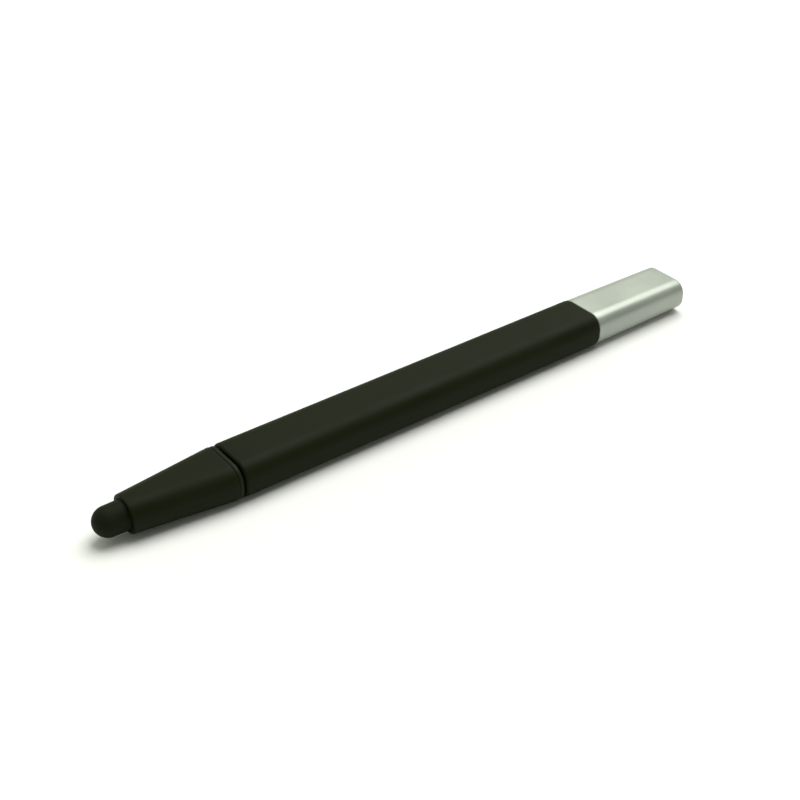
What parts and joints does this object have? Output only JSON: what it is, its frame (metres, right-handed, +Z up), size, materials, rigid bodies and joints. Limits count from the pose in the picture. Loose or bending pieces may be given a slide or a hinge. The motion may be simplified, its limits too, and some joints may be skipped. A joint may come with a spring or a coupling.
{
  "type": "telescoping stylus",
  "caption": "Slim flat-sided telescoping stylus for a handheld touch-screen organiser: round soft nib, tapered black nose, black sleeve that slides, silver end cap.",
  "frame": {"origin": "middle of the underside of the closed stylus, on the surface it lies on", "axes": "+X along the stylus from the nib to the end cap, +Y across its width, +Z up through its flat top face"},
  "size_m": [0.09, 0.0078, 0.0048],
  "materials": {
    "nib_rubber": "soft conductive silicone, dull satin",
    "brass": "turned, bare",
    "spring_steel": "drawn wire and stamped strip, bright",
    "pale_plastic": "natural acetal, unpainted",
    "bronze": "rolled phosphor-bronze strip",
    "nose_black": "black, fine satin",
    "collar_grey": "dark grey, satin",
    "plug_black": "black, moulded",
    "tube_steel": "fine brushed stainless, along the length",
    "sleeve_black": "black, soft-touch satin",
    "bush_black": "black, low-friction plastic",
    "bumper_rubber": "black, moulded",
    "screw_steel": "zinc-plated",
    "cap_silver": "bead-blasted and clear-anodised, satin silver"
  },
  "bodies": {
    "barrel": {"outer_sleeve": "sleeve_black", "guide_bush": "bush_black", "closing_bumper": "bumper_rubber", "cap_plug": "plug_black", "cap_screw": "screw_steel", "end_cap": "cap_silver"},
    "inner_stage": {"inner_tube": "tube_steel", "nose_plug": "plug_black", "plug_pins": "spring_steel", "nose_cone": "nose_black", "collar_ring": "collar_grey", "nib_guide": "pale_plastic", "nib_spring": "spring_steel", "slider_block": "pale_plastic", "slider_pins": "spring_steel", "friction_spring_upper": "bronze", "friction_spring_lower": "bronze"},
    "nib": {"nib_dome": "nib_rubber", "nib_carrier": "brass", "nib_clip": "spring_steel"}
  },
  "joints": [
    {"name": "extension_slide", "type": "slide", "parent": "barrel", "child": "inner_stage", "axis": [-1, 0, 0], "range_m": [0, 0.034]},
    {"name": "nib_press", "type": "slide", "parent": "inner_stage", "child": "nib", "axis": [1, 0, 0], "range_m": [0, 0.0008], "stiffness_N_per_m": 500, "springref_m": -0.0004, "deforming": ["nib_spring"]}
  ]
}
